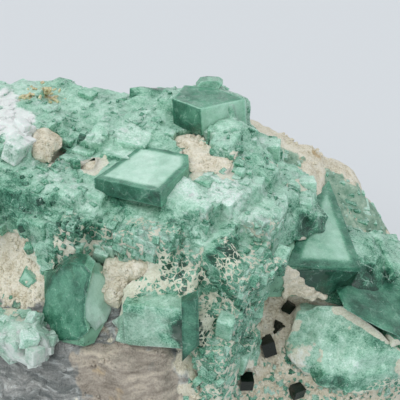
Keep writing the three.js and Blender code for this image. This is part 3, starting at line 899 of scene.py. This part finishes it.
def slab(
    name, depth, frosts, rim=0.0, lift=0.3, normal=None, material=None, relief=0.12
):
    """A crystal with one whole face, whose corners lie in the plane of the surface that shows at the anchor.

    The depth is how far the body goes on from the face, in millimetres along each axis. The frosts are those
    of the face, of its rim, of the sides that look left and of those that look right.
    """
    corners, anchor = SLAB_FACES[name]
    eye, direction = ray_through(anchor)
    place, found = surface.ray_cast(eye, direction)[:2]
    normal = Vector(normal or found).normalized()
    place = place + normal * lift * MM
    outline = []
    for corner in corners:
        eye, direction = ray_through(corner)
        outline.append(eye + direction * ((place - eye).dot(normal) / direction.dot(normal)))
    outline = np.array(outline)
    if np.cross(outline[1] - outline[0], outline[2] - outline[1]) @ np.array(normal) < 0:
        outline = outline[::-1]
    middle, up = outline.mean(axis=0), np.array(normal)
    inner = middle + (outline - middle) * (1 - 0.35 * MM / np.linalg.norm(outline - middle, axis=1))[:, None]
    below = np.array(depth) * MM
    points = np.vstack([[middle], inner, outline - up * 0.2 * MM, outline + below, [middle + below]])
    count = len(outline)
    triangles = []
    for n in range(count):
        a, b = 1 + n, 1 + (n + 1) % count
        triangles += [(0, a, b), (3 * count + 1, b + 2 * count, a + 2 * count)]
        for start in (0, count):
            a1, b1 = a + start, b + start
            triangles += [(a1, a1 + count, b1 + count), (a1, b1 + count, b1)]
    points, triangles = refine(points, np.array(triangles), SLAB_EDGE)
    normals = point_normals(points, triangles)
    to_edge = np.full(len(points), 1.0)
    for a, b in zip(outline, np.roll(outline, -1, axis=0)):
        along = np.clip(((points - a) @ (b - a)) / ((b - a) @ (b - a)), 0, 1)
        to_edge = np.minimum(to_edge, np.linalg.norm(points - a - along[:, None] * (b - a), axis=1))
    face, edge, left, right = frosts
    on_face = (points - place) @ up > -0.1 * MM
    rimmed = np.exp(-((to_edge / max(rim * MM, 1e-6)) ** 6)) if rim else np.zeros(len(points))
    side = np.where(normals[:, 0] > 0.1, right, left)
    frost = np.where(on_face, face + (edge - face) * rimmed, side)
    looks = {"frost": frost + 0.12 * layered(points, 5 * MM, 3, 81)}
    points = points + normals * (relief * layered(points, 2.5 * MM, 3, 83))[:, None] * MM
    piece = make_object(name, points, triangles, material or smooth_fluorite, looks, smooth_angle=30)


slab("tabular_crystal", (0, 0.6, -4.2), (0.78, 0.24, 0.14, 0.3), rim=1.9, lift=0.4)
slab("deep_cube", (0.4, 0.5, -7.5), (0.3, 0.5, 0.17, 0.6), rim=0.5, normal=(0, -0.1, 1))
slab("recess_crystal", (0, 2.5, 0), (0.55, 0.3, 0.3, 0.5), rim=0.6, lift=0.5)
slab("skyline_corner", (0, 4.5, 0), (0.34, 0.5, 0.3, 0.5), rim=0.5, normal=(0.1, -1, 0.4))
slab("tall_left_face", (0.5, 5, 0), (0.22, 0.1, 0.12, 0.4), rim=0.9)
slab("tall_right_face", (-1, 5, 0), (0.75, 0.6, 0.4, 0.5), rim=0.6)
slab("corner_top", (0, 0.5, -1.5), (0.6, 0.2, 0.08, 0.2), rim=2.8)
slab("corner_under", (0, 2, 0), (0.04, 0.02, 0.05, 0.05), rim=1.0, lift=0.2)
slab(
    "rock_under_corner", (0, 2, 0), (0.5, 0.5, 0.5, 0.5),
    lift=0.45, material=cream_rock, relief=0.9,
)
slab("block_side", (0, 3, 0), (0.18, 0.1, 0.1, 0.2), rim=0.6, lift=0.5)
slab("glassy_face", (0, 6, -1), (0.2, 0.14, 0.1, 0.2), rim=0.8)


# Small crystals over the crust

def picked(points, triangles, weights, count):
    """Random spots on a surface, with their normals. The weights say how crowded each triangle is."""
    scaled = scaled_normals(points, triangles)
    chances = np.linalg.norm(scaled, axis=1) * weights
    chosen = random.choice(len(triangles), count, p=chances / chances.sum())
    u, v = random.random((2, count))
    over = u + v > 1
    u[over], v[over] = 1 - u[over], 1 - v[over]
    a, b, c = (points[triangles[chosen, n]] for n in range(3))
    return a + (b - a) * u[:, None] + (c - a) * v[:, None], unit(scaled[chosen])


def turned(lean, roll, turn):
    """Rotation matrices from angles in degrees, turned about Z, then Y, then X."""
    (cx, cy, cz), (sx, sy, sz) = (f(np.radians([lean, roll, turn])) for f in (np.cos, np.sin))
    rows = [
        [cy * cz, -cy * sz, sy],
        [cx * sz + sx * sy * cz, cx * cz - sx * sy * sz, -sx * cy],
        [sx * sz - cx * sy * cz, sx * cz + cx * sy * sz, cx * cy],
    ]
    return np.moveaxis(np.array(rows), 2, 0)


def lattice_at(points, loose):
    """How crystals stand at each point. They grew nearly parallel, apart from some looseness in degrees."""
    x = points[:, 0]
    own = random.normal(size=(3, len(points))) * loose
    lean = 10 + 12 * noise(points, 31 * MM, 51) + own[0]
    roll = 5 + 10 * noise(points, 37 * MM, 52) + 12 * smooth(x, 20 * MM, 70 * MM) + own[1]
    turn = -26 + 14 * noise(points, 43 * MM, 53) + 24 * smooth(x, 10 * MM, 50 * MM) + own[2]
    return turned(lean, roll, turn)


def box_template():
    """A box with cut edges: three points at each corner, one for each face that meets there."""
    signs = [[1 if corner >> axis & 1 else -1 for axis in range(3)] for corner in range(8) for _ in range(3)]
    masks = [[0 if n == axis else 1 for n in range(3)] for _ in range(8) for axis in range(3)]
    index = {(tuple(sign), n % 3): n for n, sign in enumerate(signs)}

    def at(axis, face, *sides):
        """The point of the given face, at the corner whose signs start from the given axis."""
        corner = [0, 0, 0]
        for n, side in enumerate(sides):
            corner[(axis + n) % 3] = side
        return index[(tuple(corner), face)]

    faces = [[3 * corner, 3 * corner + 1, 3 * corner + 2] for corner in range(8)]
    for axis in range(3):
        b, c = (axis + 1) % 3, (axis + 2) % 3
        for side in (-1, 1):
            faces.append([at(axis, axis, side, *ends) for ends in ((-1, -1), (1, -1), (1, 1), (-1, 1))])
            for other in (-1, 1):
                around = ((b, -1), (b, 1), (c, 1), (c, -1))
                faces.append([at(axis, face, end, side, other) for face, end in around])
    signs, masks = np.array(signs, float), np.array(masks, float)
    shape = signs * (1 - 0.2 * masks)
    triangles = []
    for face in faces:
        a, b, c = shape[face[0]], shape[face[1]], shape[face[2]]
        if np.cross(b - a, c - a) @ shape[face].mean(axis=0) < 0:
            face = face[::-1]
        triangles += [[face[0], face[n], face[n + 1]] for n in range(1, len(face) - 1)]
    return signs, masks, np.array(triangles)


SIGNS, MASKS, BOX_TRIANGLES = box_template()
BOX_POINTS = len(SIGNS)


def boxes(centres, frames, sizes, cut):
    """Many boxes with cut edges in one mesh, with the normal of the face that each point belongs to."""
    local = SIGNS[None] * (sizes[:, None, :] / 2 - cut[:, None, None] * MASKS[None])
    points = centres[:, None, :] + np.einsum("kij,kvj->kvi", frames, local)
    normals = np.einsum("kij,vj->kvi", frames, SIGNS * (1 - MASKS))
    starts = BOX_POINTS * np.arange(len(centres))
    triangles = BOX_TRIANGLES[None] + starts[:, None, None]
    return points.reshape(-1, 3), triangles.reshape(-1, 3), normals.reshape(-1, 3)


def spread_out(spots, gap):
    """Which spots to keep so that no two are closer than the gap."""
    taken = {}
    kept = []
    around = [(a, b, c) for a in (-1, 0, 1) for b in (-1, 0, 1) for c in (-1, 0, 1)]
    for n, spot in enumerate(spots.tolist()):
        cell = tuple(math.floor(value / gap) for value in spot)
        near = (taken.get(tuple(i + j for i, j in zip(cell, step)), ()) for step in around)
        if all(math.dist(spot, other) > gap for group in near for other in group):
            taken.setdefault(cell, []).append(spot)
            kept.append(n)
    return np.array(kept)


def small_crystals(
    name, ground, tries, gap, weights, sizes, loose, standing, darker, variety, most=0.7
):
    """Small crystals, mostly sunk in the ground that they grow on.

    Sizes, and the most that a crystal stands out, are in millimetres. Loose is how far crystals turn from
    their neighbours, in degrees. Standing is the least and greatest share of its length that one stands out.
    """
    spots, normals = picked(*ground, weights, tries)
    kept = spread_out(spots, gap)
    spots, normals, count = spots[kept], normals[kept], len(kept)
    low, high = sizes
    length = MM * low * (high / low) ** (random.random(count) ** 1.6)
    frames = lattice_at(spots, loose)
    box_sizes = length[:, None] * random.uniform(0.7, 1.3, (count, 3))
    reach = 0.5 * (np.abs(np.einsum("kij,ki->kj", frames, normals)) * box_sizes).sum(axis=1)
    lowest, highest = standing
    proud = length * random.uniform(lowest, highest, count) * (reach / (0.5 * length)) ** 1.5
    proud = np.minimum(proud, most * MM * random.uniform(0.6, 1.0, count))
    centres = spots + normals * (proud - reach)[:, None]
    points, triangles, faces = boxes(centres, frames, box_sizes, 0.06 * length)
    looks = {layer: np.repeat(zone_weight(spots, layer), BOX_POINTS) for layer in ("white", "ochre", "grey")}
    own = frost_at(spots) - darker + variety * random.uniform(-1, 1, count)
    # The boxes' tops are paler: painted light
    looks["frost"] = np.repeat(own, BOX_POINTS) + 1.2 * painted_top_light(faces)
    piece = make_object(name, points, triangles, fluorite, looks)


def openings_at(points):
    """1 near the rims of the openings where the rock shows, and 0 elsewhere."""
    total = np.zeros(len(points))
    for pixel, radius in OPENINGS:
        away = np.linalg.norm(points - np.array(place_at(pixel)), axis=1) / (radius * PIXEL)
        total = np.maximum(total, smooth(away, 0.6, 1.0) * (1 - smooth(away, 1.3, 1.7)))
    return total


middles = crust[0][crust[1]].mean(axis=1)
facing = unit(scaled_normals(*crust))
at_front = np.where((middles[:, 1] < 10 * MM) & (facing[:, 2] > -0.6), 1.0, 0.1)
open_crust = at_front * (zone_weight(middles, "crisp", 0.1) < 0.25)
druse = zone_weight(middles, "speckle")
cream = zone_weight(middles, "cream")
small_crystals(
    "mosaic_crystals", crust, 2000, 4.5 * MM,
    open_crust * (1 - 0.9 * druse) * (1 - 0.95 * cream) + LEAST_WEIGHT,
    sizes=(1.8, 5.5), loose=6, standing=(0.04, 0.16), darker=0.0, variety=0.08,
)
small_crystals(
    "druse_crystals", crust, 6000, 1.5 * MM,
    open_crust * (smooth(druse, 0.1, 0.6) + 0.04) * (1 - 0.6 * cream) + LEAST_WEIGHT,
    sizes=(1.2, 2.8), loose=20, standing=(0.1, 0.35), darker=0.2, variety=0.14,
)
small_crystals(
    "rim_crystals", crust, 400, 2.4 * MM, openings_at(middles) * open_crust + LEAST_WEIGHT,
    sizes=(2.0, 5.0), loose=8, standing=(0.12, 0.35), darker=0.05, variety=0.12, most=1.0,
)

small_crystals(
    "lump_crystals", lump, 320, 1.6 * MM, np.ones(len(lump[1])),
    sizes=(1.0, 3.6), loose=20, standing=(0.05, 0.25), darker=-0.05, variety=0.15,
)

rock_middles = rock[0][rock[1]].mean(axis=1)
growing = smooth(zone_weight(rock_middles, "green", 0.1), 0.3, 0.8) * (rock_middles[:, 1] < 20 * MM)
small_crystals(
    "side_crystals", rock, 900, 2.6 * MM, growing + LEAST_WEIGHT,
    sizes=(1.5, 5.0), loose=6, standing=(0.05, 0.2), darker=0.08, variety=0.1, most=0.9,
)

low_right = zone_weight(rock_middles, "scatter")
small_crystals(
    "scattered_crystals", rock, 1200, 1.4 * MM, low_right**2 + LEAST_WEIGHT,
    sizes=(0.8, 3.0), loose=40, standing=(0.15, 0.45), darker=0.14, variety=0.26, most=0.9,
)


# Grains of rock and ochre needles

GRAIN_CORNERS = 12
GRAINS = 4200


def grain_template():
    """A rounded solid with twelve corners and twenty faces."""
    golden = (1 + math.sqrt(5)) / 2
    corners = [(a, b * golden, 0) for a in (-1, 1) for b in (-1, 1)]
    corners = np.array([np.roll(corner, turn) for turn in range(3) for corner in corners])
    side = 2.01
    triangles = []
    for a in range(GRAIN_CORNERS):
        for b in range(a + 1, GRAIN_CORNERS):
            for c in range(b + 1, GRAIN_CORNERS):
                picks = corners[[a, b, c]]
                if all(np.linalg.norm(picks[i] - picks[i - 1]) < side for i in range(3)):
                    outward = np.cross(picks[1] - picks[0], picks[2] - picks[0]) @ picks[0] > 0
                    triangles.append((a, b, c) if outward else (a, c, b))
    return corners / np.linalg.norm(corners[0]), np.array(triangles)


def rock_grains(name, ground, count, weights, sizes):
    """Grains of many sizes that lie on the rock, half sunk."""
    corners, faces = grain_template()
    spots, normals = picked(*ground, weights, count)
    low, high = sizes
    radius = 0.5 * MM * low * (high / low) ** (random.random(count) ** 2.2)
    shapes = corners[None] * random.uniform(0.6, 1.15, (count, GRAIN_CORNERS, 1))
    shapes = shapes * random.uniform(0.6, 1.1, (count, 1, 3))
    points = (spots + 0.15 * normals * radius[:, None])[:, None] + shapes * radius[:, None, None]
    triangles = (faces[None] + GRAIN_CORNERS * np.arange(count)[:, None, None]).reshape(-1, 3)
    layers = ("grey", "tan", "ochre", "green")
    looks = {layer: np.repeat(zone_weight(spots, layer), GRAIN_CORNERS) for layer in layers}
    looks["frost"] = np.repeat(0.5 + 0.2 * random.uniform(-1, 1, count), GRAIN_CORNERS)
    piece = make_object(name, points.reshape(-1, 3), triangles, cream_rock, looks)


sandy = zone_weight(rock_middles, "sand", 0.5) * (unit(scaled_normals(*rock))[:, 2] > -0.5)
rock_grains("rock_grains", rock, GRAINS, sandy + LEAST_WEIGHT, sizes=(0.4, 2.0))

# Bunches of needles, each with its pixel and how many it has, and sizes and spread in millimetres
NEEDLES = [((27, 98), 26), ((45, 91), 34), ((52, 102), 20)]
NEEDLE_SIZES = ((0.4, 0.8), (0.4, 0.8), (0.8, 1.8))
NEEDLE_SPREAD = (1.5, 1.0, 0.6)


def ochre_needles():
    """Bunches of small ochre crystals on the upper left of the crust."""
    spots = np.array([place_at(pixel) for pixel, count in NEEDLES for _ in range(count)])
    count = len(spots)
    spots = spots + random.normal(size=(count, 3)) * NEEDLE_SPREAD * MM
    frames = turned(*(random.uniform(-90, 90, count) for _ in range(3)))
    sizes = MM * np.stack([random.uniform(low, high, count) for low, high in NEEDLE_SIZES], axis=1)
    points, triangles, _ = boxes(spots, frames, sizes, 0.1 * sizes[:, 0])
    piece = make_object("ochre_needles", points, triangles, ochre)


ochre_needles()


# The stage

def make_stage():
    around = ((-1, -1), (1, -1), (1, 1), (-1, 1))
    corners = [(FLOOR_SIDE * across, FLOOR_SIDE * along, 0) for across, along in around]
    data = bpy.data.meshes.new("floor")
    data.from_pydata(corners, [], [(0, 1, 2, 3)])
    s = Shader("pale_floor")
    s.set(Base_Color=(*linear(FLOOR_COLOUR), 1), Roughness=0.9)
    data.materials.append(s.material)
    floor = bpy.data.objects.new("floor", data)
    bpy.context.scene.collection.objects.link(floor)


def add_sun(name, place, strength, spread):
    light = bpy.data.lights.new(name, "SUN")
    light.energy = strength
    light.angle = math.radians(spread)
    lamp = bpy.data.objects.new(name, light)
    lamp.location = place
    lamp.rotation_mode = "QUATERNION"
    lamp.rotation_quaternion = (-Vector(place)).to_track_quat("-Z", "Y")
    bpy.context.scene.collection.objects.link(lamp)


def make_camera():
    data = bpy.data.cameras.new("camera")
    data.lens = LENS
    data.sensor_width = SENSOR
    data.clip_start = 0.01
    camera = bpy.data.objects.new("camera", data)
    camera.location = TARGET - direction_of_view() * DISTANCE
    camera.rotation_mode = "QUATERNION"
    camera.rotation_quaternion = direction_of_view().to_track_quat("-Z", "Y")
    bpy.context.scene.collection.objects.link(camera)
    bpy.context.scene.camera = camera


def make_world():
    world = bpy.data.worlds.new("studio")
    bpy.context.scene.world = world
    world.use_nodes = True
    background = world.node_tree.nodes["Background"]
    background.inputs["Color"].default_value = SKY_COLOUR
    background.inputs["Strength"].default_value = SKY_STRENGTH


make_stage()
make_camera()
make_world()
add_sun("key", KEY_FROM, KEY_STRENGTH, KEY_SPREAD)
bpy.context.scene.view_settings.view_transform = "Standard"
